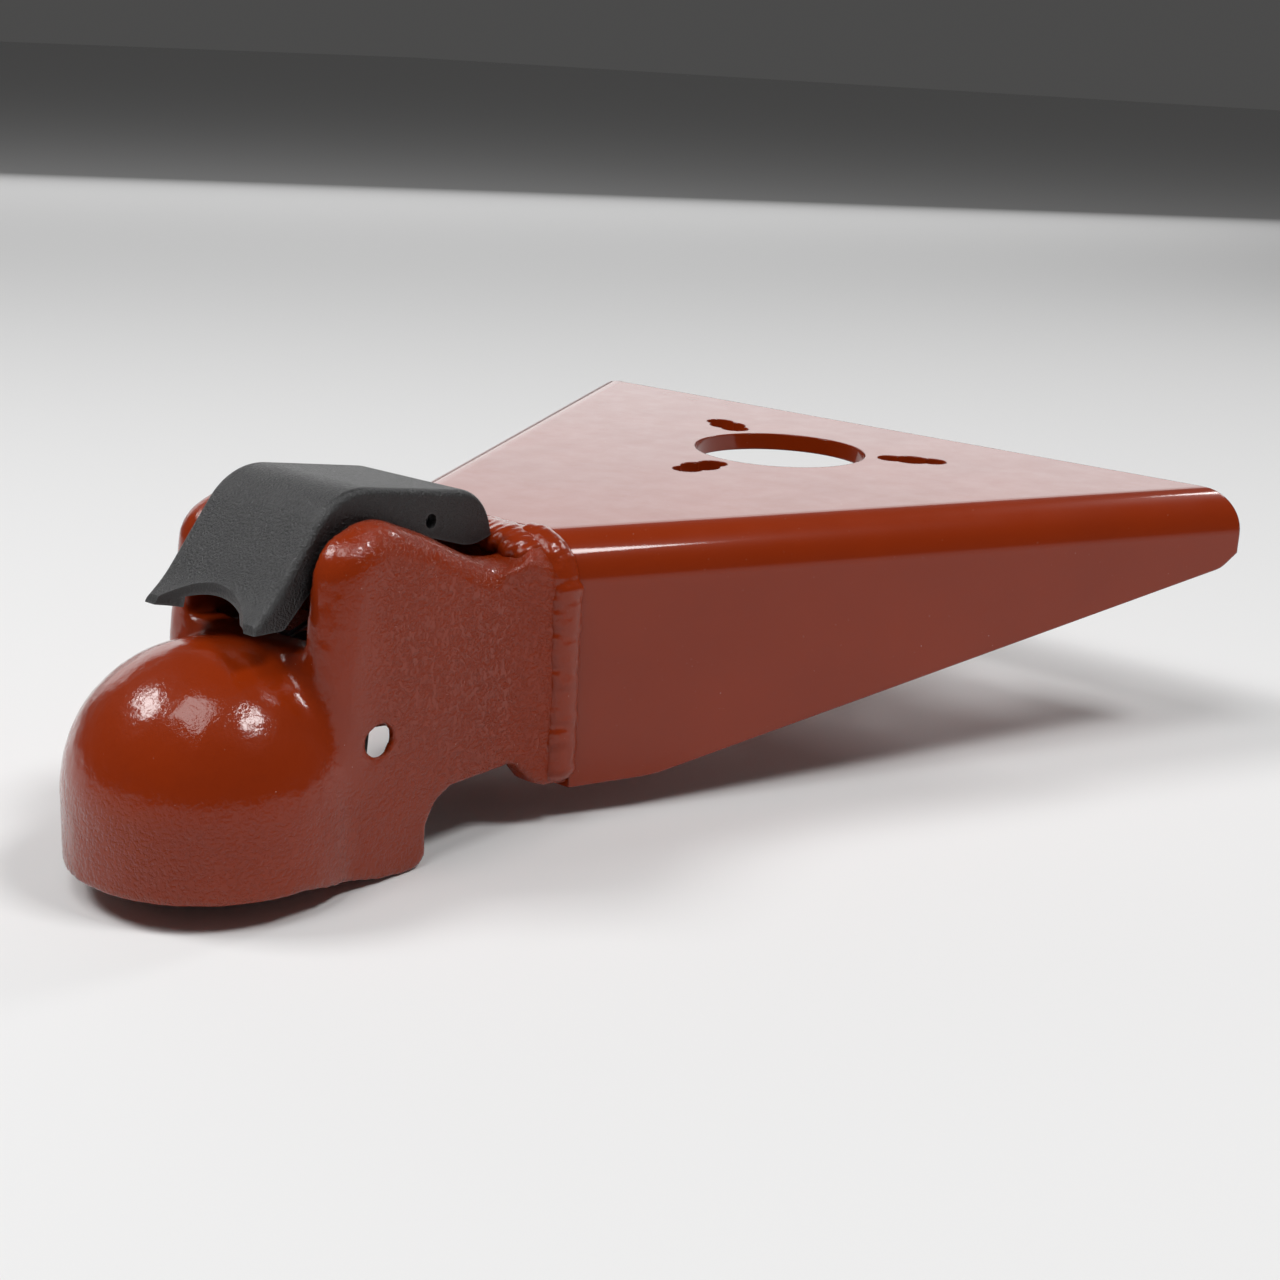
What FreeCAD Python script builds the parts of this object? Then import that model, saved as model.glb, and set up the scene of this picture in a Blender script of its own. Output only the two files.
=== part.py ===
"""Weld-on A-frame trailer coupler for a 2 5/16 inch ball.

Millimetres.  The origin is the centre of the ball, +Z is up and +X points back
along the trailer, so the domed head is at the front and the forked plate behind.
A lever in the top of the head turns on a cross pin.  A roller on the lever works
in a slot in the ball clamp, and swings the clamp out from under the ball.
"""
import FreeCAD, Part
import math
import os

V = FreeCAD.Vector

# Head
ball_diameter = 58.74
socket_clearance = 0.5
dome_wall = 12.1
skirt_depth = 21.3
head_half_width = 38.0
side_wall = 6.0
slot_half_width = 25.0
crest_round = 10.0
safety_hole_diameter = 9.6
safety_hole_wall = 3.0

# Bent plate
frame_angle = 50.0
frame_length = 239.9
frame_front_half_width = 43.07
frame_depth = 81.3
plate_thickness = 6.35
bend_radius = 14.9
jack_hole_diameter = 65.0
jack_hole_from_rear = 72.4
bolt_circle = 100.0
bolt_hole_diameter = 14.5
bolt_slot_width = 11.0
bolt_slot_length = 26.0
bead_radius = 6.0

# Lever
handle_half_width = 23.5
handle_wall = 3.0
handle_lift = 38.0
lever_thickness = 3.0
lever_pin_diameter = 5.0
pin_window_radius = 2.2
ear_thickness = 5.5
ear_round = 5.6
spring_room = 4.0
cheek_room = 1.0

# Ball clamp
clamp_half_width = 17.0
clamp_pin_diameter = 9.5
clamp_boss_radius = 9.0
roller_radius = 4.0
roller_pin_radius = 2.0
bush_wall = 1.5

# Fits
running_fit = 0.05
free_gap = 0.5

# Places that follow from the sizes above
cover_inner_half = handle_half_width - handle_wall
ear_outer = cover_inner_half - spring_room
ear_inner = ear_outer - ear_thickness
lever_cheek_inner = ear_inner - cheek_room - lever_thickness
clamp_arm_half = lever_cheek_inner - cheek_room
ball_radius = ball_diameter / 2
socket_radius = ball_radius + socket_clearance
dome_radius = socket_radius + dome_wall
deck_z = dome_radius + 20.8
head_rear_x = dome_radius + 65.3
slot_rear_x = dome_radius + 49.5
handle_pin = (dome_radius + 21.2, dome_radius + 29.0)
clamp_pin = (dome_radius + 8.0, dome_radius - 20.0)
roller_rest = (handle_pin[0] - 3.2, handle_pin[1] - 12.5)
safety_pin = (socket_radius + 0.3, socket_radius / 2 - 0.4)
frame_slope = math.tan(math.radians(frame_angle / 2))
frame_rear_x = head_rear_x + frame_length
jack_x = frame_rear_x - jack_hole_from_rear
shelf_z = (dome_radius - 6.0, dome_radius)
far = 400.0


# ---------------------------------------------------------------- shape helpers

def rounded_wire(corners, place):
    """A closed outline from (a, b, radius) corners, each rounded by its radius."""
    edges = []
    starts = []
    ends = []
    arcs = []
    count = len(corners)
    for i in range(count):
        before = V(corners[i - 1][0], corners[i - 1][1], 0)
        here = V(corners[i][0], corners[i][1], 0)
        after = V(corners[(i + 1) % count][0], corners[(i + 1) % count][1], 0)
        radius = corners[i][2]
        to_before = (before - here).normalize()
        to_after = (after - here).normalize()
        half = to_before.getAngle(to_after) / 2
        reach = radius / math.tan(half)
        starts.append(here + to_before * reach)
        ends.append(here + to_after * reach)
        middle = (to_before + to_after).normalize()
        arcs.append(here + middle * (radius / math.sin(half) - radius))
    for i in range(count):
        if corners[i][2] > 0:
            edges.append(Part.Arc(place(starts[i]), place(arcs[i]), place(ends[i])).toShape())
        following = (i + 1) % count
        if (ends[i] - starts[following]).Length > 1e-6:
            edges.append(Part.LineSegment(place(ends[i]), place(starts[following])).toShape())
    return Part.Wire(edges)


def side_plate(corners, y_low, y_high):
    """An outline in the side view, (x, z, radius) corners, between two widths."""
    wire = rounded_wire(corners, lambda p: V(p.x, y_low, p.y))
    return Part.Face(wire).extrude(V(0, y_high - y_low, 0))


def plan_plate(corners, z_low, z_high):
    """An outline in the plan view, (x, y, radius) corners, between two heights."""
    wire = rounded_wire(corners, lambda p: V(p.x, p.y, z_low))
    return Part.Face(wire).extrude(V(0, 0, z_high - z_low))


def sharp(points):
    return [(a, b, 0) for a, b in points]


def block(x_low, x_high, y_low, y_high, z_low, z_high):
    return Part.makeBox(x_high - x_low, y_high - y_low, z_high - z_low, V(x_low, y_low, z_low))


def cross_rod(centre, radius, y_low, y_high):
    return Part.makeCylinder(radius, y_high - y_low, V(centre[0], y_low, centre[1]), V(0, 1, 0))


def cross_tube(centre, outer, inner, y_low, y_high):
    return cross_rod(centre, outer, y_low, y_high).cut(cross_rod(centre, inner, y_low, y_high))


def mirrored(shape):
    return shape.mirror(V(0, 0, 0), V(0, 1, 0))


def turned(point, centre, degrees):
    """A side-view point turned about a cross axis; positive lifts what is ahead of it."""
    angle = math.radians(degrees)
    dx = point[0] - centre[0]
    dz = point[1] - centre[1]
    x = centre[0] + dx * math.cos(angle) + dz * math.sin(angle)
    z = centre[1] - dx * math.sin(angle) + dz * math.cos(angle)
    return (x, z)


def angle_from(point, centre):
    return math.degrees(math.atan2(point[0] - centre[0], point[1] - centre[1]))


def round_edges(shape, radius, chosen):
    edges = [edge for edge in shape.Edges if chosen(edge)]
    return shape.makeFillet(radius, edges)


def save(shape, name):
    if not shape.isValid():
        print("not valid:", name)
    shape.exportStep("parts/" + name + ".step")
    print(name, round(shape.Volume), len(shape.Solids))


# ---------------------------------------------------------------- head casting

def side_edges(half_width, z_low):
    """Picks the long outer edges on both sides, above a height."""
    def chosen(edge):
        box = edge.BoundBox
        outside = box.YLength < 0.01 and abs(abs(box.YMin) - half_width) < 0.01
        return outside and box.ZMin > z_low
    return chosen


def wall_block():
    """The two side walls as one block, before they are hollowed."""
    r = dome_radius
    bottom = -skirt_depth - 20
    block_outline = [
        (r - 37, bottom, 0),
        (r - 36, 0, 0),
        (r - 26.5, r + 29, 14),
        (r - 8, r + 36, 18),
        (r + 12, r + 28, 24),
        (r + 36, r + 15.5, 40),
        (r + 58, r + 16.5, 0),
        (r + 58, bottom, 0),
    ]
    half = head_half_width
    walls = side_plate(block_outline, -half, half)
    return round_edges(walls, crest_round, side_edges(half, -1))


def rear_block():
    """The block behind the walls, flared out to the width of the plate."""
    r = dome_radius
    wide = frame_front_half_width
    narrow = head_half_width
    plan = [
        (r + 38, -narrow, 0),
        (r + 44, -narrow, 20),
        (r + 56, -wide, 12),
        (head_rear_x, -wide, 0),
        (head_rear_x, wide, 0),
        (r + 56, wide, 12),
        (r + 44, narrow, 20),
        (r + 38, narrow, 0),
    ]
    flare = plan_plate(plan, -skirt_depth - 20, deck_z)
    top = side_plate([
        (r + 30, r + 11, 0),
        (r + 47, r + 15, 4),
        (r + 53.5, deck_z, 6),
        (head_rear_x + 1, deck_z, 0),
        (head_rear_x + 1, -far, 0),
        (r + 30, -far, 0),
    ], -far, far)
    rounded = block(r + 30, far, -wide, wide, -far, deck_z)
    rounded = round_edges(rounded, bend_radius, side_edges(wide, deck_z - 1))
    return flare.common(top).common(rounded)


def tower():
    return wall_block().fuse(rear_block()).removeSplitter()


def underside():
    """What the lower edge of the skirt and the walls is trimmed by."""
    r = dome_radius
    s = skirt_depth
    low = -far
    return side_plate([
        (-far, -s, 0),
        (0, -s, 40),
        (r - 8, -s - 7.9, 40),
        (r + 7, -s - 7.9, 5),
        (r + 7.2, -s + 14.2, 13),
        (r + 44.5, -s + 14.8, 3),
        (r + 51.5, -s + 6.6, 3),
        (head_rear_x, -s + 4.2, 0),
        (far, -s + 4.2, 0),
        (far, low, 0),
        (-far, low, 0),
    ], -far, far)


def dome():
    ball_cap = Part.makeSphere(dome_radius)
    skirt = Part.makeCylinder(dome_radius, skirt_depth + 20, V(0, 0, -skirt_depth - 20))
    upper = block(-far, far, -far, far, 0, far)
    return ball_cap.common(upper).fuse(skirt)


def lever_slot():
    """The space between the walls for the lever, kept clear of the dome."""
    r = dome_radius
    slot = block(-r, slot_rear_x, -slot_half_width, slot_half_width, shelf_z[1], far)
    return slot.cut(Part.makeSphere(dome_radius))


def lower_cavity():
    """The hollow behind the dome, open below, and its mouth under the plate."""
    inner = head_half_width - side_wall
    r = dome_radius
    hollow = block(r - 22, slot_rear_x + 5, -inner, inner, -far, shelf_z[0])
    hollow = hollow.cut(Part.makeSphere(dome_radius)).cut(
        Part.makeCylinder(dome_radius, far, V(0, 0, -far)))
    throat = block(r - 20, r + 10, -slot_half_width, slot_half_width, 0, shelf_z[1] + 1)
    throat = throat.cut(Part.makeSphere(dome_radius))
    mouth = block(slot_rear_x, far, -inner, inner, -far, 5.0)
    return hollow.fuse([throat, mouth])


def clamp_window():
    """The opening in the back of the socket that the ball clamp works through."""
    half = clamp_half_width + free_gap + 0.3
    return block(socket_radius - 11, dome_radius + 20, -half, half, -far, clamp_pin[1] + 6)


def arm_gap():
    """The gap between the ears and through the shelf for the clamp's upper arm."""
    return block(dome_radius, dome_radius + 34, -ear_inner, ear_inner, 0, far)


def ears():
    """Two lugs that stand on the shelf and carry the lever's pin."""
    x, z = handle_pin
    reach = ear_round
    web = side_plate([
        (x - reach, z, 0),
        (x - reach, shelf_z[0] + 1, 0),
        (x + reach + 3, shelf_z[0] + 1, 0),
        (x + reach, z - 12, 6),
        (x + reach, z, 0),
    ], ear_inner, ear_outer)
    ear = web.fuse(cross_rod(handle_pin, reach, ear_inner, ear_outer))
    return ear.fuse(mirrored(ear))


def head_casting():
    shell = dome().fuse(tower()).removeSplitter()
    shell = shell.cut(underside())
    shell = shell.cut(lever_slot())
    shell = shell.cut(lower_cavity())
    shell = shell.cut(clamp_window())
    shell = shell.cut(arm_gap())
    shell = shell.fuse(ears())
    shell = shell.cut(Part.makeSphere(socket_radius))
    shell = shell.cut(Part.makeCylinder(socket_radius, far, V(0, 0, -far)))
    shell = shell.cut(cross_rod(safety_pin, safety_hole_diameter / 2, -far, far))
    pocket = cross_rod(safety_pin, safety_hole_diameter, head_half_width - side_wall - 0.5,
                       head_half_width - safety_hole_wall)
    shell = shell.cut([pocket, mirrored(pocket)])
    shell = shell.cut(cross_rod(handle_pin, lever_pin_diameter / 2, -ear_outer - 1, ear_outer + 1))
    near_end = -head_half_width + 2.0
    shell = shell.cut(cross_rod(clamp_pin, clamp_pin_diameter / 2, near_end, far))
    shell = shell.cut(cross_rod(clamp_pin, clamp_pin_diameter / 2 + 2.5, head_half_width - 2, far))
    return shell.removeSplitter()


# ---------------------------------------------------------------- bent plate

def frame_prism(inset, radius, low):
    """The plate's outer or inner form: a wedge in plan with its top edges rounded."""
    drop = inset / math.cos(math.radians(frame_angle / 2))
    front = frame_front_half_width - drop
    rear = front + frame_slope * frame_length
    x_front = head_rear_x
    prism = plan_plate(sharp([
        (x_front, -front),
        (frame_rear_x, -rear),
        (frame_rear_x, rear),
        (x_front, front),
    ]), low, deck_z - inset)

    def top_side(edge):
        box = edge.BoundBox
        return box.ZMin > deck_z - inset - 0.01 and box.XLength > frame_length - 1

    return round_edges(prism, radius, top_side)


def frame_trim():
    """What the side flanges are cut to: a rising lower edge and a round rear corner."""
    low = deck_z - frame_depth
    rise = 54.0
    return side_plate([
        (head_rear_x - 1, low, 0),
        (head_rear_x + 27, low + 0.9, 40),
        (frame_rear_x - 6, low + rise, 9),
        (frame_rear_x, deck_z - 22, 0),
        (frame_rear_x + 1, deck_z - 22, 0),
        (frame_rear_x + 1, deck_z + 1, 0),
        (head_rear_x - 1, deck_z + 1, 0),
    ], -far, far)


def bolt_slots():
    """Three radial slots round the jack hole, each a bolt hole with a smaller hole at both ends."""
    spread = (bolt_slot_length - bolt_slot_width) / 2
    holes = []
    for bearing in (60, 180, 300):
        for shift in (-spread, 0, spread):
            width = bolt_slot_width if shift else bolt_hole_diameter
            reach = bolt_circle / 2 + shift
            x = jack_x + reach * math.cos(math.radians(bearing))
            y = reach * math.sin(math.radians(bearing))
            holes.append(Part.makeCylinder(width / 2, far, V(x, y, 0)))
    return holes[0].fuse(holes[1:])


def a_frame_plate():
    low = deck_z - frame_depth - 5
    outer = frame_prism(0, bend_radius, low)
    inner = frame_prism(plate_thickness, bend_radius - plate_thickness, low - 1)
    plate = outer.cut(inner).common(frame_trim())
    plate = plate.cut(Part.makeCylinder(jack_hole_diameter / 2, far, V(jack_x, 0, 0)))
    return plate.cut(bolt_slots())


# ---------------------------------------------------------------- weld beads

def side_bead(head, plate):
    """A bead up the joint between the wall and one flange, on the near side."""
    x = head_rear_x - 4.5
    y = -frame_front_half_width + 1.8
    bottom = V(x, y, -skirt_depth + 9.0)
    bead = Part.makeCylinder(bead_radius, deck_z - bend_radius - bottom.z + 6, bottom)
    bead = bead.fuse(Part.makeSphere(bead_radius, bottom))
    return bead.cut(head).cut(plate).Solids[0]


def top_bead(head, plate):
    """A low wide bead across the top, from one bend of the plate to the other."""
    reach = frame_front_half_width - bend_radius + 4
    z = deck_z - 5.0
    x = head_rear_x - 4.5
    bead = Part.makeCylinder(bead_radius + 1.5, 2 * reach, V(x, -reach, z), V(0, 1, 0))
    bead = bead.cut(head).cut(plate)
    return max(bead.Solids, key=lambda solid: solid.Volume)


# ---------------------------------------------------------------- lever

def cover_top(drop, scale):
    """The line over the top of the lever cover, or one a wall thickness inside it."""
    r = dome_radius
    return [
        (r - 40.0 + drop * 0.8, r + 13.9 - drop * 0.6, 40),
        (r - 15.5 + drop * 0.2, r + 44.2 - drop * 1.1, 22 * scale),
        (r + 44.6 - drop, r + 34.9 - drop, 16 * scale),
    ]


def handle_cover():
    r = dome_radius
    tip_x = r - 46.1
    outline = [(tip_x, r + 7.0, 0), (tip_x + 0.8, r + 9.6, 0)] + cover_top(0, 1) + [
        (r + 48.3, r + 21.2, 0),
        (r + 38.5, r + 18.6, 18),
        (r - 7.5, r + 33.0, 19),
        (r - 35.5, r + 6.6, 2),
    ]
    outer = side_plate(outline, -handle_half_width, handle_half_width)

    def along_top(edge):
        box = edge.BoundBox
        flat = box.YLength < 0.01 and abs(abs(box.YMin) - handle_half_width) < 0.01
        return flat and box.ZMin > r + 9 and box.ZMax > r + 36

    outer = round_edges(outer, 2.2, along_top)
    inner = cover_inner_half
    hollow = side_plate([
        (tip_x + 4.5, r + 4.0, 0),
        (tip_x + 5.0, r + 9.9, 0),
    ] + cover_top(handle_wall, 0.86) + [
        (r + 45.2, r + 23.0, 0),
        (r + 45.2, r - 10, 0),
        (tip_x + 4.5, r - 10, 0),
    ], -inner, inner)
    cover = outer.cut(hollow)
    notch = Part.makeCylinder(28.0, far, V(tip_x - 20.5, 0, 0))
    cover = cover.cut(notch)
    cover = cover.cut(cross_rod(handle_pin, pin_window_radius, -far, far))
    return cover.cut(lever_screws())


def handle_lever():
    """A steel channel inside the cover, with two cheeks down to the roller."""
    r = dome_radius
    t = lever_thickness
    web_top = [
        (r - 31, r + 14.5, 0),
        (r - 18.5, r + 31.0, 10),
        (r - 9, r + 37.8, 12),
        (r + 11.5, r + 35.6, 0),
    ]
    web_under = [
        (r + 11.5, r + 35.6 - t, 0),
        (r - 8.5, r + 37.8 - t, 9),
        (r - 16.8, r + 31.0 - t, 7),
        (r - 29.5, r + 11.5, 0),
    ]
    half = cover_inner_half - 3.0
    web = side_plate(web_top + web_under, -half, half)
    x, z = handle_pin
    low = roller_rest
    cheek = side_plate([
        (r - 10, r + 35.5, 0),
        (x + 0.5, z + 5.4, 4),
        (x + 5.4, z, 4),
        (low[0] + 5.0, low[1] - 4.6, 4),
        (low[0] - 5.0, low[1] - 4.6, 4),
        (r + 2, r + 28, 6),
    ], lever_cheek_inner, lever_cheek_inner + t)
    lever = web.fuse([cheek, mirrored(cheek)])
    bore = lever_pin_diameter / 2 + bush_wall
    lever = lever.cut(cross_rod(handle_pin, bore, -half, half))
    lever = lever.cut(cross_rod(roller_rest, roller_pin_radius, -half, half))
    for x_screw in screw_places():
        lever = lever.cut(Part.makeCylinder(2.1, far, V(x_screw[0], x_screw[1], 0)))
    return lever.removeSplitter()


def screw_places():
    y = lever_cheek_inner + lever_thickness + 3.9
    return [(dome_radius + 3, y), (dome_radius + 3, -y)]


def lever_screws():
    """Two pan-head screws that hold the steel lever up against the cover."""
    screws = []
    under = dome_radius + 33.0
    for x, y in screw_places():
        shank = Part.makeCylinder(2.0, 7.0, V(x, y, under))
        head = Part.makeCylinder(3.4, 2.2, V(x, y, under - 2.2))
        head = head.makeFillet(0.9, [edge for edge in head.Edges if edge.BoundBox.ZMax < under - 2])
        screws.append(shank.fuse(head).removeSplitter())
    return Part.makeCompound(screws)


def cam_roller():
    half = clamp_arm_half + 0.4
    return cross_tube(roller_rest, roller_radius, roller_pin_radius + running_fit, -half, half)


def cam_roller_pin():
    reach = lever_cheek_inner + lever_thickness + 0.5
    pin = cross_rod(roller_rest, roller_pin_radius, -reach, reach)
    head = cross_rod(roller_rest, roller_pin_radius + 0.9, reach - 0.48, reach)
    return pin.fuse([head, mirrored(head)]).removeSplitter()


def lever_bushes():
    outer = lever_pin_diameter / 2 + bush_wall
    inner = lever_pin_diameter / 2 + running_fit
    low = lever_cheek_inner
    bush = cross_tube(handle_pin, outer, inner, low, low + lever_thickness)
    return Part.makeCompound([bush, mirrored(bush)])


def lever_pivot_pin():
    reach = cover_inner_half - 0.8
    pin = cross_rod(handle_pin, lever_pin_diameter / 2, -reach, reach)
    return pin.makeChamfer(0.4, [edge for edge in pin.Edges if edge.BoundBox.YLength < 0.01])


# ---------------------------------------------------------------- ball clamp

def clamp_swing():
    """How far the clamp turns when the lever is lifted all the way."""
    lifted = turned(roller_rest, handle_pin, handle_lift)
    return angle_from(lifted, clamp_pin) - angle_from(roller_rest, clamp_pin)


def cam_slot():
    """The path of the roller as the clamp sees it, with a little clearance."""
    steps = 12
    half = clamp_arm_half + 1
    path = []
    for step in range(steps + 1):
        share = step / steps
        roller = turned(roller_rest, handle_pin, handle_lift * share)
        seen = turned(roller, clamp_pin, -clamp_swing() * share)
        path.append(cross_rod(seen, roller_radius + 0.3, -half, half))
    return path[0].fuse(path[1:])


def ball_clamp():
    px, pz = clamp_pin
    r = socket_radius
    low = -skirt_depth + 1.3
    rim = math.sqrt(r * r - low * low)
    claw = side_plate([
        (rim - 6, low, 0),
        (px - 8, low, 5),
        (px - 4.2, pz - 10, 6),
        (px, pz - clamp_boss_radius, 0),
        (px, pz + clamp_boss_radius - 4, 0),
        (r + 6, pz + 3, 4),
        (r - 8, pz + 1.5, 0),
        (r - 8, 0, 0),
    ], -clamp_half_width, clamp_half_width)
    boss = cross_rod(clamp_pin, clamp_boss_radius, -clamp_half_width, clamp_half_width)
    end = turned(roller_rest, handle_pin, handle_lift)
    tip = turned(end, clamp_pin, -clamp_swing())
    arm = side_plate([
        (px - 8, pz + 2, 0),
        (px + 8.5, pz + 2, 0),
        (roller_rest[0] + 7.0, roller_rest[1] - 2, 5),
        (tip[0] + 6.2, tip[1] + 6.4, 5),
        (tip[0] - 6.6, tip[1] + 6.4, 5),
        (roller_rest[0] - 8.0, roller_rest[1] - 6, 5),
    ], -clamp_arm_half, clamp_arm_half)
    clamp = claw.fuse([boss, arm])
    clamp = clamp.cut(Part.makeSphere(socket_radius + 0.1))
    clamp = clamp.cut(cam_slot())
    clamp = clamp.cut(cross_rod(safety_pin, safety_hole_diameter / 2 + 0.8, -far, far))
    bore = clamp_pin_diameter / 2 + bush_wall
    clamp = clamp.cut(cross_rod(clamp_pin, bore, -far, far))
    return clamp.removeSplitter()


def clamp_bush():
    outer = clamp_pin_diameter / 2 + bush_wall
    inner = clamp_pin_diameter / 2 + running_fit
    return cross_tube(clamp_pin, outer, inner, -clamp_half_width, clamp_half_width)


def clamp_pivot_pin():
    return cross_rod(clamp_pin, clamp_pin_diameter / 2, -head_half_width + 2.3, head_half_width - 2.0)


def clamp_pin_plug():
    """The plug welded over the pin's open end."""
    plug = cross_rod(clamp_pin, clamp_pin_diameter / 2 + 2.4, head_half_width - 2, head_half_width - 0.2)
    return plug.makeChamfer(0.6, [edge for edge in plug.Edges if edge.BoundBox.YMin > head_half_width - 1])


def clamp_washers():
    """One flat washer on each side of the clamp, and a long spacer to each wall."""
    inner = clamp_pin_diameter / 2 + 0.2
    start = clamp_half_width + 0.3
    washer = cross_tube(clamp_pin, inner + 4.0, inner, start, start + 1.2)
    return Part.makeCompound([washer, mirrored(washer)])


def clamp_spacers():
    inner = clamp_pin_diameter / 2 + 0.2
    start = clamp_half_width + 1.6
    stop = head_half_width - side_wall - 0.2
    spacer = cross_tube(clamp_pin, inner + 2.0, inner, stop - 5.5, stop)
    return Part.makeCompound([spacer, mirrored(spacer)])


def coil(centre, mean, wire, y_first, turns, legs):
    """A torsion spring: a ribbed sleeve of close turns, and a straight leg at each end."""
    x, z = centre
    pitch = 1.9 * wire
    dip = math.sqrt(wire * wire - pitch * pitch / 4)
    edges = []
    for side in (1, -1):
        for turn in range(turns):
            y = y_first + turn * pitch
            low = V(x + mean + side * dip, y - pitch / 2, z)
            top = V(x + mean + side * wire, y, z)
            high = V(x + mean + side * dip, y + pitch / 2, z)
            edges.append(Part.Arc(low, top, high).toShape())
    for y in (y_first - pitch / 2, y_first + (turns - 0.5) * pitch):
        edges.append(Part.makeLine(V(x + mean - dip, y, z), V(x + mean + dip, y, z)))
    section = Part.Face(Part.Wire(Part.__sortEdges__(edges)))
    sleeve = section.revolve(V(x, 0, z), V(0, 1, 0), 360)
    shapes = []
    y_last = y_first + (turns - 1) * pitch
    for (dx, dz), y in zip(legs, (y_first, y_last)):
        length = math.hypot(dx, dz)
        start = V(x - dz / length * mean, y, z + dx / length * mean)
        shapes.append(Part.makeCylinder(wire * 0.98, length, start, V(dx, 0, dz)))
    return sleeve.fuse(shapes)


def lever_springs():
    """One on each end of the lever's pin, outside the ears."""
    wire = 0.45
    mean = lever_pin_diameter / 2 + wire + 0.25
    spring = coil(handle_pin, mean, wire, ear_outer + wire + 0.25, 3, [(-11, 0.5), (5, -19)])
    return Part.makeCompound([spring, mirrored(spring)])


def clamp_spring():
    wire = 0.9
    mean = clamp_pin_diameter / 2 + wire + 0.35
    return coil(clamp_pin, mean, wire, clamp_half_width + 2.9, 3, [(13, -7), (14, 5)])


def spring_anchor():
    """The cross pin through the ears that the lever springs' legs bear on."""
    centre = (handle_pin[0] + ear_round - 1.4, handle_pin[1] - 22.0)
    return cross_rod(centre, 1.9, -ear_outer - 3.0, ear_outer + 3.0)


def build():
    os.makedirs("parts", exist_ok=True)
    head = head_casting()
    plate = a_frame_plate()
    bead = side_bead(head, plate)
    anchor = spring_anchor()
    head = head.cut(anchor)
    save(head, "head_casting")
    save(plate, "a_frame_plate")
    save(bead, "weld_bead_left")
    save(mirrored(bead), "weld_bead_right")
    save(top_bead(head, plate), "weld_bead_top")
    save(handle_cover(), "lever_cover")
    save(handle_lever(), "lever_channel")
    save(lever_screws(), "lever_screws")
    save(lever_bushes(), "lever_bushes")
    save(lever_pivot_pin(), "lever_pivot_pin")
    save(lever_springs(), "lever_springs")
    save(anchor, "spring_anchor_pin")
    save(cam_roller(), "cam_roller")
    save(cam_roller_pin(), "cam_roller_pin")
    save(ball_clamp(), "ball_clamp")
    save(clamp_bush(), "clamp_bush")
    save(clamp_pivot_pin(), "clamp_pivot_pin")
    save(clamp_pin_plug(), "clamp_pin_plug")
    save(clamp_washers(), "clamp_washers")
    save(clamp_spacers(), "clamp_spacers")
    save(clamp_spring(), "clamp_spring")
    print("clamp swing for a full lift, degrees:", round(clamp_swing(), 3))
    print("ratio:", round(clamp_swing() / handle_lift, 5))


build()
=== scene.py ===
# %% [markdown]
# A weld-on trailer coupler, finished around its CAD model.
# The metal parts come from the CAD frame and keep their size and place. This lesson adds what a drawing
# doesn't hold: the soft edges of a sand casting, rippled weld, thick glossy enamel and grained plastic.

# %% Load the frame
import math

import bpy
from mathutils import Matrix, Vector
from mathutils.kdtree import KDTree


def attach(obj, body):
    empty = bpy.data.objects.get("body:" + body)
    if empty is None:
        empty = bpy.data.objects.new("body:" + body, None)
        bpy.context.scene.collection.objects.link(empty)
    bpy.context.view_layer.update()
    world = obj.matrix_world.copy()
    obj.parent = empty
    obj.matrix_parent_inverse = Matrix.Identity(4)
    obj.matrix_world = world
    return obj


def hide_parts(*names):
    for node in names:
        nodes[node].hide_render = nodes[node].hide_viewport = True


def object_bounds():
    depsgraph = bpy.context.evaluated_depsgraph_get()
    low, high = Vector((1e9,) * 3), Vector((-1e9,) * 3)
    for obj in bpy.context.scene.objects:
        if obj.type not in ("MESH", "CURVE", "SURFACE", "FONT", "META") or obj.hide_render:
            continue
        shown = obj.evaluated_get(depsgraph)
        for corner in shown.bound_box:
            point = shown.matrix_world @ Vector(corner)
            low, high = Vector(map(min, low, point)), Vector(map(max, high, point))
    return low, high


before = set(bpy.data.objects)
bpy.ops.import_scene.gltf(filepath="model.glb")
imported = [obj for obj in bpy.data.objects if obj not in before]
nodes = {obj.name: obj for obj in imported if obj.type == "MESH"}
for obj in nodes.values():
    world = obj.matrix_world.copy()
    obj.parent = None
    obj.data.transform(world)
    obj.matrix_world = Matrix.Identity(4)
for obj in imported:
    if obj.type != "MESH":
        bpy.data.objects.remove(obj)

cad_low, cad_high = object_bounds()
print("frame of", len(nodes), "nodes, from", tuple(cad_low), "to", tuple(cad_high))

# %% [markdown]
# The camera stands low, ahead of the dome and to one side, as a person would look at a coupler lying on
# a bench. It is turned by three angles about the object: round it, up from the bench, and a slight roll.

# %% Camera
CAMERA_PLACE = Vector((-0.3485, -0.4269, 0.2075))
AROUND, UP, ROLL = math.radians(-51.84), math.radians(16.48), math.radians(2.93)
camera_data = bpy.data.cameras.new("camera")
camera_data.lens = 56.48
camera_data.sensor_width = 36.0
camera = bpy.data.objects.new("camera", camera_data)
bpy.context.scene.collection.objects.link(camera)
back = Vector((math.sin(AROUND) * math.cos(UP), -math.cos(AROUND) * math.cos(UP), math.sin(UP)))
right = Vector((0, 0, 1)).cross(back).normalized()
above = back.cross(right)
turned_right = right * math.cos(ROLL) + above * math.sin(ROLL)
turned_above = above * math.cos(ROLL) - right * math.sin(ROLL)
facing = Matrix((turned_right, turned_above, back)).transposed()
camera.matrix_world = Matrix.Translation(CAMERA_PLACE) @ facing.to_4x4()
bpy.context.scene.camera = camera
print("camera looks along", tuple(round(v, 3) for v in -back))

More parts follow.
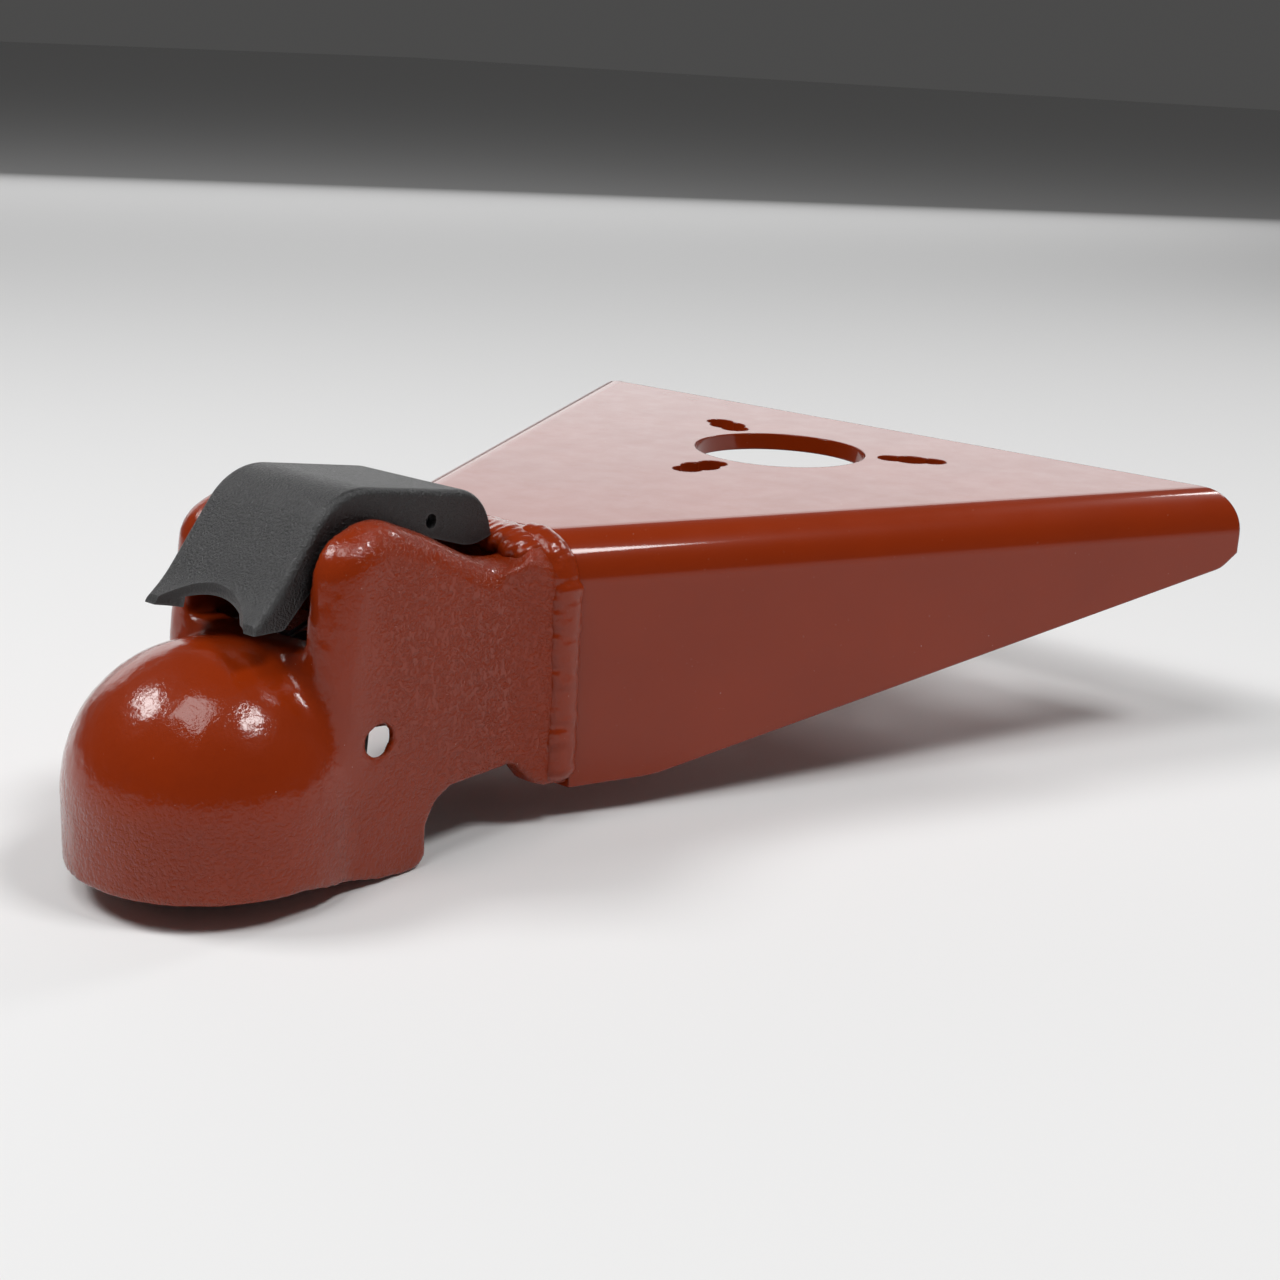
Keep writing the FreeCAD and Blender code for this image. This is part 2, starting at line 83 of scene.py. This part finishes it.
# %% [markdown]
# The bench is plain and pale, and the light is soft. Thick enamel shows its surroundings, so the room
# matters as much as the lamps. The bench shows in the lower half of the dome and in the flanges, and the
# dim room above it shows in the upper half, so the line between them runs across the dome's middle.

# %% Bench
def only(obj):
    """Makes one object the only one selected, and active."""
    bpy.ops.object.select_all(action="DESELECT")
    obj.select_set(True)
    bpy.context.view_layer.objects.active = obj
    return obj


BENCH_WIDTH = 30.0
BENCH_SHADE = 0.80
FLOOR_Z = cad_low.z - 0.0004
bpy.ops.object.select_all(action="DESELECT")
bpy.ops.mesh.primitive_plane_add(size=BENCH_WIDTH, location=(0, 0, FLOOR_Z))
bench = bpy.context.object
bench.name = "pale_bench"
bpy.ops.object.transform_apply(location=True, rotation=True)
board = bpy.data.materials.new("pale_bench_board")
board.use_nodes = True
board_shader = board.node_tree.nodes["Principled BSDF"]
board_shader.inputs["Base Color"].default_value = (BENCH_SHADE, BENCH_SHADE, BENCH_SHADE, 1)
board_shader.inputs["Roughness"].default_value = 0.9
board_shader.inputs["Specular IOR Level"].default_value = 0.1
bench.data.materials.append(board)
print("bench at", round(FLOOR_Z, 4))

# %% [markdown]
# Two small soft boxes give the dome its bright spots, a large one overhead lights the bench evenly, and
# a white wall behind the object is what the flat top of the plate reflects. The rest of the room is dim.

# %% Lamps
LAMPS_AIM = Vector((0.1, 0, 0))


def lamp(name, bearing, height, distance, width, tall, power):
    """A soft box seen from the object at a bearing and height in degrees, facing it."""
    data = bpy.data.lights.new(name, "AREA")
    data.shape = "RECTANGLE"
    data.size, data.size_y = width, tall
    data.energy = power
    obj = bpy.data.objects.new(name, data)
    bpy.context.scene.collection.objects.link(obj)
    level = math.cos(math.radians(height))
    side = Vector((math.cos(math.radians(bearing)) * level, math.sin(math.radians(bearing)) * level,
                   math.sin(math.radians(height))))
    obj.location = LAMPS_AIM + side * distance
    obj.rotation_mode = "QUATERNION"
    obj.rotation_quaternion = (-side).to_track_quat("-Z", "Y")


lamp("box_left", 130, 50, 1.9, 0.62, 0.42, 15)
lamp("box_right", -76, 59, 1.9, 0.55, 0.36, 14)
lamp("overhead", -172, 68, 2.2, 0.9, 0.9, 15)
lamp("box_behind", -8, 35, 2.0, 0.35, 0.35, 5)
lamp("white_wall", 50, 15, 2.6, 3.6, 1.15, 14.5)
world = bpy.data.worlds.new("dim_room")
bpy.context.scene.world = world
world.use_nodes = True
world.node_tree.nodes["Background"].inputs["Color"].default_value = (1, 0.99, 0.98, 1)
world.node_tree.nodes["Background"].inputs["Strength"].default_value = 0.07
bpy.context.scene.view_settings.view_transform = "Standard"

# %% [markdown]
# Every finish here is built from a few small parts: noise of a real size in metres, a range that the
# noise is spread over, a blend of two colours, and a bump of a real depth. All of them read the object's
# own coordinates, so that the pattern stays on the metal when the lever moves.

# %% Material helpers
def new_material(name, colour, roughness, metallic=0.0):
    material = bpy.data.materials.new(name)
    material.use_nodes = True
    shader = material.node_tree.nodes["Principled BSDF"]
    shader.inputs["Base Color"].default_value = (*colour, 1)
    shader.inputs["Roughness"].default_value = roughness
    shader.inputs["Metallic"].default_value = metallic
    return material, material.node_tree, shader


def noise(tree, size, detail=4.0, rough=0.55, stretch=(1, 1, 1)):
    """Noise whose blotches are about the given size in metres."""
    place = tree.nodes.new("ShaderNodeTexCoord")
    mapping = tree.nodes.new("ShaderNodeMapping")
    mapping.inputs["Scale"].default_value = stretch
    texture = tree.nodes.new("ShaderNodeTexNoise")
    texture.inputs["Scale"].default_value = 1.0 / size
    texture.inputs["Detail"].default_value = detail
    texture.inputs["Roughness"].default_value = rough
    tree.links.new(place.outputs["Object"], mapping.inputs["Vector"])
    tree.links.new(mapping.outputs["Vector"], texture.inputs["Vector"])
    return texture.outputs["Fac"]


def shaped(tree, value, low, high, out_low=0.0, out_high=1.0):
    """A value between low and high, spread over another range."""
    node = tree.nodes.new("ShaderNodeMapRange")
    node.inputs["From Min"].default_value = low
    node.inputs["From Max"].default_value = high
    node.inputs["To Min"].default_value = out_low
    node.inputs["To Max"].default_value = out_high
    tree.links.new(value, node.inputs["Value"])
    return node.outputs["Result"]


def blended(tree, factor, first, second):
    """One colour turning into another; either may be a value or a socket."""
    node = tree.nodes.new("ShaderNodeMix")
    node.data_type = "RGBA"
    tree.links.new(factor, node.inputs["Factor"])
    for socket, colour in (("A", first), ("B", second)):
        target = [s for s in node.inputs if s.name == socket and s.type == "RGBA"][0]
        if isinstance(colour, tuple):
            target.default_value = (*colour, 1)
        else:
            tree.links.new(colour, target)
    return [s for s in node.outputs if s.type == "RGBA"][0]


def bumped(tree, height, depth, under=None, strength=1.0):
    """A bump of the given depth in metres, over an earlier one."""
    node = tree.nodes.new("ShaderNodeBump")
    node.inputs["Distance"].default_value = depth
    node.inputs["Strength"].default_value = strength
    tree.links.new(height, node.inputs["Height"])
    if under is not None:
        tree.links.new(under, node.inputs["Normal"])
    return node.outputs["Normal"]


# %% [markdown]
# Enamel over cast iron: one glossy coat over a dull colour. The casting under it is pitted, so the coat
# dips and swells at two scales, a slow orange peel of a few millimetres and small pits. Pale specks are
# dust. One recipe with other depths does for the casting, the plate and the weld.

# %% Enamel
ENAMEL = (0.275, 0.0265, 0.0018)
ENAMEL_THIN = (0.238, 0.0225, 0.0018)


def soft_edge(tree, radius):
    """A surface direction that rounds a sharp edge a little."""
    node = tree.nodes.new("ShaderNodeBevel")
    node.samples = 6
    node.inputs["Radius"].default_value = radius
    return node.outputs["Normal"]


def away_from_dome(tree):
    """Full on the skirt and the walls, and faint on the crown, which is smoother."""
    place = tree.nodes.new("ShaderNodeTexCoord")
    split = tree.nodes.new("ShaderNodeSeparateXYZ")
    tree.links.new(place.outputs["Object"], split.inputs["Vector"])
    skirt = shaped(tree, split.outputs["Z"], 0.010, -0.004, 0.12, 1.0)
    walls = shaped(tree, split.outputs["X"], 0.016, 0.034, 0.12, 1.0)
    larger = tree.nodes.new("ShaderNodeMath")
    larger.operation = "MAXIMUM"
    tree.links.new(skirt, larger.inputs[0])
    tree.links.new(walls, larger.inputs[1])
    return larger.outputs["Value"]


def enamel(name, peel, pits, peel_size=0.006, pit_size=0.0016, smooth_dome=False):
    material, tree, shader = new_material(name, ENAMEL, 0.28)
    shade = shaped(tree, noise(tree, 0.05, 2), 0.2, 0.8)
    body = blended(tree, shade, ENAMEL, ENAMEL_THIN)
    dust = shaped(tree, noise(tree, 0.0009, 2, 0.6), 0.765, 0.80)
    tree.links.new(blended(tree, dust, body, (0.62, 0.45, 0.38)), shader.inputs["Base Color"])
    rub = shaped(tree, noise(tree, 0.012, 5, 0.6), 0.3, 0.75, 0.28, 0.40)
    tree.links.new(rub, shader.inputs["Roughness"])
    shader.inputs["Specular IOR Level"].default_value = 0.06
    shader.inputs["Coat Weight"].default_value = 1.0
    shader.inputs["Coat IOR"].default_value = 1.40
    shader.inputs["Coat Roughness"].default_value = 0.07
    wave = bumped(tree, noise(tree, peel_size, 2, 0.5), peel, soft_edge(tree, 0.0009))
    pit = shaped(tree, noise(tree, pit_size, 3, 0.6), 0.36, 0.55)
    normal = bumped(tree, pit, pits, wave)
    if smooth_dome:
        tree.links.new(away_from_dome(tree), normal.node.inputs["Strength"])
    tree.links.new(normal, shader.inputs["Normal"])
    tree.links.new(normal, shader.inputs["Coat Normal"])
    return material


cast_enamel = enamel("enamel_on_casting", 0.00012, 0.00018, 0.006, 0.0012, smooth_dome=True)
plate_enamel = enamel("enamel_on_plate", 0.000002, 0.0000015, 0.014, 0.0012)
weld_enamel = enamel("enamel_on_weld", 0.00020, 0.00004)
print("enamels:", [paint.name for paint in (cast_enamel, plate_enamel, weld_enamel)])

# %% [markdown]
# The lever's cover is moulded in black plastic with a fine grain. Its edges are painted paler, partly as
# wear from hands and gloves and partly as a painted highlight along the rounded edges. The mechanism is
# bare: zinc plate on the pressings, turned steel on the pins, dark spring wire, an iron clamp and bronze
# bushes. Noise squeezed along a pin gives the marks of the lathe.

# %% Plastic, steel, iron and bronze
def grained_plastic():
    material, tree, shader = new_material("black_grained_plastic", (0.008, 0.008, 0.0085), 0.40)
    grain = noise(tree, 0.0008, 3, 0.65)
    cloud = shaped(tree, noise(tree, 0.016, 4, 0.6), 0.35, 0.7)
    body = blended(tree, cloud, (0.0055, 0.0055, 0.006), (0.011, 0.011, 0.0118))
    geometry = tree.nodes.new("ShaderNodeNewGeometry")
    edge = tree.nodes.new("ShaderNodeBevel")
    edge.samples = 6
    edge.inputs["Radius"].default_value = 0.0016
    spread = tree.nodes.new("ShaderNodeVectorMath")
    spread.operation = "DOT_PRODUCT"
    tree.links.new(edge.outputs["Normal"], spread.inputs[0])
    tree.links.new(geometry.outputs["Normal"], spread.inputs[1])
    # Edges painted paler: partly wear, partly a painted highlight along the rounded edges.
    edge_sheen_and_wear = shaped(tree, spread.outputs["Value"], 0.99, 0.90, 0.0, 0.6)
    body = blended(tree, edge_sheen_and_wear, body, (0.060, 0.060, 0.062))
    speck = shaped(tree, noise(tree, 0.0008, 2, 0.6), 0.74, 0.80, 0.0, 0.5)
    tree.links.new(blended(tree, speck, body, (0.10, 0.10, 0.10)), shader.inputs["Base Color"])
    tree.links.new(shaped(tree, grain, 0.3, 0.7, 0.27, 0.46), shader.inputs["Roughness"])
    shader.inputs["Specular IOR Level"].default_value = 0.75
    tree.links.new(bumped(tree, grain, 0.00050), shader.inputs["Normal"])
    return material


def metal(name, colour, dull, roughness, scratch=(1, 1, 1), depth=0.00002, metallic=1.0):
    material, tree, shader = new_material(name, colour, roughness, metallic)
    stain = shaped(tree, noise(tree, 0.004, 5, 0.6), 0.4, 0.7)
    tree.links.new(blended(tree, stain, colour, dull), shader.inputs["Base Color"])
    fine = noise(tree, 0.0006, 3, 0.6, scratch)
    gloss = shaped(tree, fine, 0.3, 0.7, roughness - 0.08, roughness + 0.1)
    tree.links.new(gloss, shader.inputs["Roughness"])
    tree.links.new(bumped(tree, fine, depth), shader.inputs["Normal"])
    return material


black_plastic = grained_plastic()
zinc = metal("zinc_plate", (0.60, 0.60, 0.57), (0.42, 0.43, 0.40), 0.34)
turned_steel = metal("turned_steel", (0.52, 0.52, 0.53), (0.30, 0.29, 0.28), 0.30, (1, 14, 1))
wire_steel = metal("spring_wire", (0.16, 0.16, 0.17), (0.10, 0.09, 0.09), 0.36)
clamp_iron = metal("phosphated_iron", (0.10, 0.10, 0.095), (0.05, 0.048, 0.045), 0.52,
                   depth=0.0002, metallic=0.6)
bronze = metal("sintered_bronze", (0.55, 0.36, 0.15), (0.36, 0.22, 0.09), 0.42)
print("bare finishes:", [m.name for m in (black_plastic, zinc, turned_steel, wire_steel, clamp_iron, bronze)])

# %% [markdown]
# The coupler head is cast in sand, so nothing on it is crisp: the dome melts into the walls, edges are
# soft and the skin is lumpy. A drawing can't hold that, so a copy of the head is turned into an even
# net of small faces, relaxed where dome and walls meet, and roughened like a sand mould's skin.

# %% Copies and modifiers
def merged_copy(node, name):
    """A copy of a CAD node with its loose triangles joined up."""
    mesh = node.data.copy()
    mesh.transform(node.matrix_world)
    obj = bpy.data.objects.new(name, mesh)
    bpy.context.scene.collection.objects.link(obj)
    only(obj)
    bpy.ops.object.mode_set(mode="EDIT")
    bpy.ops.mesh.select_all(action="SELECT")
    bpy.ops.mesh.remove_doubles(threshold=0.000002)
    bpy.ops.mesh.normals_make_consistent(inside=False)
    bpy.ops.object.mode_set(mode="OBJECT")
    return obj


def finish_with(obj, kind, **settings):
    """Adds one modifier, sets it and applies it."""
    only(obj)
    modifier = obj.modifiers.new(kind.lower(), kind)
    for key, value in settings.items():
        setattr(modifier, key, value)
    bpy.ops.object.modifier_apply(modifier=modifier.name)


def lumps(name, size, depth=2):
    """A cloudy pattern for a displacement, with lumps of the given size in metres."""
    texture = bpy.data.textures.new(name, "CLOUDS")
    texture.noise_scale = size
    texture.noise_depth = depth
    return texture


def triangles(obj):
    return sum(len(face.vertices) - 2 for face in obj.data.polygons)


# %% [markdown]
# The net's mesh size decides what survives. At about a millimetre the walls and holes keep their shape,
# sharp edges are rounded as a mould rounds them, and the piece stays light enough to work with.

# %% Net over the head
DOME_RADIUS = -cad_low.x
NET_SIZE = 0.00108
skin = merged_copy(nodes["head_casting"], "sand_cast_head")
finish_with(skin, "REMESH", mode="VOXEL", voxel_size=NET_SIZE, adaptivity=0.0, use_smooth_shade=True)
print("net over the head:", triangles(skin), "triangles")

# %% [markdown]
# The dome runs into the walls in a deep rounded corner. A fillet tool can't follow this one, so the
# corner is relaxed instead: a point of the dome near the walls, or of the walls near the dome, is
# weighted by how near it is, and the smoothing that follows pulls most where the weight is highest.

# %% Choose the crease between dome and walls
def nearest_tree(points):
    tree = KDTree(len(points))
    for number, point in enumerate(points):
        tree.insert(point, number)
    tree.balance()
    return tree


CREASE_REACH = 0.0085
DOME_SLACK = 0.0004
SKIRT_FOOT_Z = -0.019
WALLS_END_X = 0.045


def from_dome_axis(point):
    """How far a point is from the dome's centre, or from its upright axis on the skirt."""
    return min(point.length, point.xy.length) if point.z < 0 else point.length


outer = [v for v in skin.data.vertices if v.co.z > SKIRT_FOOT_Z and v.co.length > DOME_RADIUS - 0.0006]
on_dome = [v for v in outer if from_dome_axis(v.co) < DOME_RADIUS + DOME_SLACK]
dome_numbers = {v.index for v in on_dome}
on_walls = [v for v in outer if v.index not in dome_numbers and v.co.x < WALLS_END_X]
dome_tree = nearest_tree([v.co for v in on_dome])
wall_tree = nearest_tree([v.co for v in on_walls])
crease = skin.vertex_groups.new(name="crease")
for group, tree in ((on_dome, wall_tree), (on_walls, dome_tree)):
    for vertex in group:
        gap = tree.find(vertex.co)[2]
        if gap < CREASE_REACH:
            crease.add([vertex.index], 1 - (gap / CREASE_REACH) ** 2, "REPLACE")
print("dome", len(on_dome), "walls", len(on_walls))

# %% [markdown]
# Smoothing eats away thin walls and widens holes. The safety pin's hole is the one that shows, so the
# points round it are smoothed only a little.

# %% Spare the pin hole
PIN_HOLE = (0.03017, 0.014535)
LEAST_SMOOTHING = 0.15
calm = skin.vertex_groups.new(name="away_from_pin_hole")
for vertex in skin.data.vertices:
    gap = math.hypot(vertex.co.x - PIN_HOLE[0], vertex.co.z - PIN_HOLE[1])
    calm.add([vertex.index], min(1.0, max(LEAST_SMOOTHING, (gap - 0.006) / 0.004)), "REPLACE")

# %% [markdown]
# A sand mould swells a little here and there and prints its grain on the metal. Two clouds do that, one
# slow and one fine. Both push mostly inwards, so that the casting keeps the size in the drawing.

# %% Soften and roughen the head
finish_with(skin, "SMOOTH", factor=0.6, iterations=60, vertex_group="crease")
finish_with(skin, "SMOOTH", factor=0.5, iterations=4, vertex_group="away_from_pin_hole")
finish_with(skin, "DISPLACE", texture=lumps("mould_swell", 0.013), strength=0.00042, mid_level=0.75)
finish_with(skin, "DISPLACE", texture=lumps("sand_grain", 0.0026), strength=0.00020, mid_level=0.8)
skin.vertex_groups.clear()
skin.data.materials.clear()
skin.data.materials.append(cast_enamel)
bpy.ops.object.shade_smooth()
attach(skin, "head")
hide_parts("head_casting")
print("finished head:", triangles(skin), "triangles")

# %% [markdown]
# A weld bead is a row of small pools of metal, each frozen on the shoulder of the last. One flattened
# pool is modelled, copied along the joint with its own small shift and tilt, and the row is melted into
# one skin. A bead made as a smooth rod would look like a strip of filler.

# %% Weld beads
def shift(number, spread):
    """A small offset that looks random and is always the same."""
    return spread * math.sin(number * 12.9898 + math.sin(number * 4.1414) * 3.0)


bpy.ops.object.select_all(action="DESELECT")
bpy.ops.mesh.primitive_uv_sphere_add(segments=28, ring_count=16, radius=1.0, location=(0, 0, 0))
first_pool = bpy.context.object


def weld_pool(place, size, turn):
    """A copy of the first pool, flattened to a size, tilted and put in its place."""
    pool = first_pool.copy()
    pool.data = first_pool.data.copy()
    bpy.context.scene.collection.objects.link(pool)
    only(pool)
    pool.scale = size
    pool.rotation_euler = turn
    pool.location = place
    bpy.ops.object.transform_apply(location=True, rotation=True, scale=True)
    return pool


def melt(pools, name, grain, relax, node_name):
    """Joins a row of pools into one bead and puts it in place of the plain one."""
    bpy.ops.object.select_all(action="DESELECT")
    for pool in pools:
        pool.select_set(True)
    bpy.context.view_layer.objects.active = pools[0]
    bpy.ops.object.join()
    bead = bpy.context.object
    bead.name = name
    bead.data.name = name
    finish_with(bead, "REMESH", mode="VOXEL", voxel_size=grain, adaptivity=0.0, use_smooth_shade=True)
    finish_with(bead, "SMOOTH", factor=0.5, iterations=relax)
    finish_with(bead, "DISPLACE", texture=lumps(name + "_swell", 0.006), strength=0.0004, mid_level=0.5)
    bead.data.materials.clear()
    bead.data.materials.append(weld_enamel)
    bpy.ops.object.shade_smooth()
    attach(bead, "head")
    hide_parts(node_name)
    print(name, triangles(bead), "triangles")


# %% [markdown]
# Each side bead climbs the joint between wall and flange, then turns over the plate's rounded corner. The
# corner's centre and radius are the plate's own, with the row laid a little inside its surface.

# %% Side beads
BEND_CENTRE = (0.02817, 0.04787)
BEND_REACH = 0.0119
BEAD_X = 0.10350
BEAD_Y = 0.04127
BEAD_FOOT_Z = -0.0115
POOL_STEP = 0.0024
for side, name in ((-1, "left"), (1, "right")):
    pools = []
    for number in range(25):
        place = (BEAD_X + shift(number, 0.0003), side * (BEAD_Y + shift(number + 7, 0.0002)),
                 BEAD_FOOT_Z + number * POOL_STEP)
        size = (0.0064 + shift(number + 3, 0.0003), 0.0056, 0.0042)
        pools.append(weld_pool(place, size, (side * 0.45, 0.12 + shift(number, 0.08), 0)))
    for number in range(1, 10):
        angle = math.radians(number * 10)
        place = (BEAD_X - 0.0002 + shift(number + 11, 0.0003),
                 side * (BEND_CENTRE[0] + BEND_REACH * math.cos(angle)),
                 BEND_CENTRE[1] + BEND_REACH * math.sin(angle))
        pools.append(weld_pool(place, (0.0066, 0.0056, 0.0042), (side * (0.3 + angle), 0.1, 0)))
    melt(pools, "rippled_bead_" + name, 0.00060, 8, "weld_bead_" + name)

# %% [markdown]
# The joint across the top is wide and was filled in one slow weave, so its pools are long ones laid side
# by side. The row sinks at both ends, where the plate's corners begin.

# %% Wide bead across the top
pools = []
for number in range(27):
    y = -0.0325 + number * 0.0025
    place = (0.1002 - abs(y) * 0.05 + shift(number, 0.0005), y, 0.0594 - max(0, abs(y) - 0.026) * 0.45)
    size = (0.0102 + shift(number + 5, 0.0008), 0.0034, 0.0056 + shift(number + 2, 0.0003))
    pools.append(weld_pool(place, size, (0.5, 0.10, 0.10 + shift(number, 0.12))))
melt(pools, "rippled_bead_top", 0.00065, 3, "weld_bead_top")
bpy.data.objects.remove(first_pool)

# %% [markdown]
# The other pieces keep the CAD shape and only take a finish. The table goes by piece, so a new piece
# without a finish stops the script. The head and beads get theirs too, though new pieces cover them.

# %% Finish each CAD node
FINISHES = {
    "head_casting": cast_enamel, "a_frame_plate": plate_enamel, "weld_bead_left": weld_enamel,
    "weld_bead_right": weld_enamel, "weld_bead_top": weld_enamel, "clamp_pin_plug": weld_enamel,
    "lever_cover": black_plastic, "lever_channel": zinc, "lever_screws": zinc, "clamp_washers": zinc,
    "clamp_spacers": zinc, "lever_pivot_pin": turned_steel, "clamp_pivot_pin": turned_steel,
    "spring_anchor_pin": turned_steel, "cam_roller": turned_steel, "cam_roller_pin": turned_steel,
    "lever_springs": wire_steel, "clamp_spring": wire_steel, "ball_clamp": clamp_iron,
    "clamp_bush": bronze, "lever_bushes": bronze,
}
for name, node in nodes.items():
    node.data.materials.clear()
    node.data.materials.append(FINISHES[name])
print("finished", len(FINISHES), "nodes")
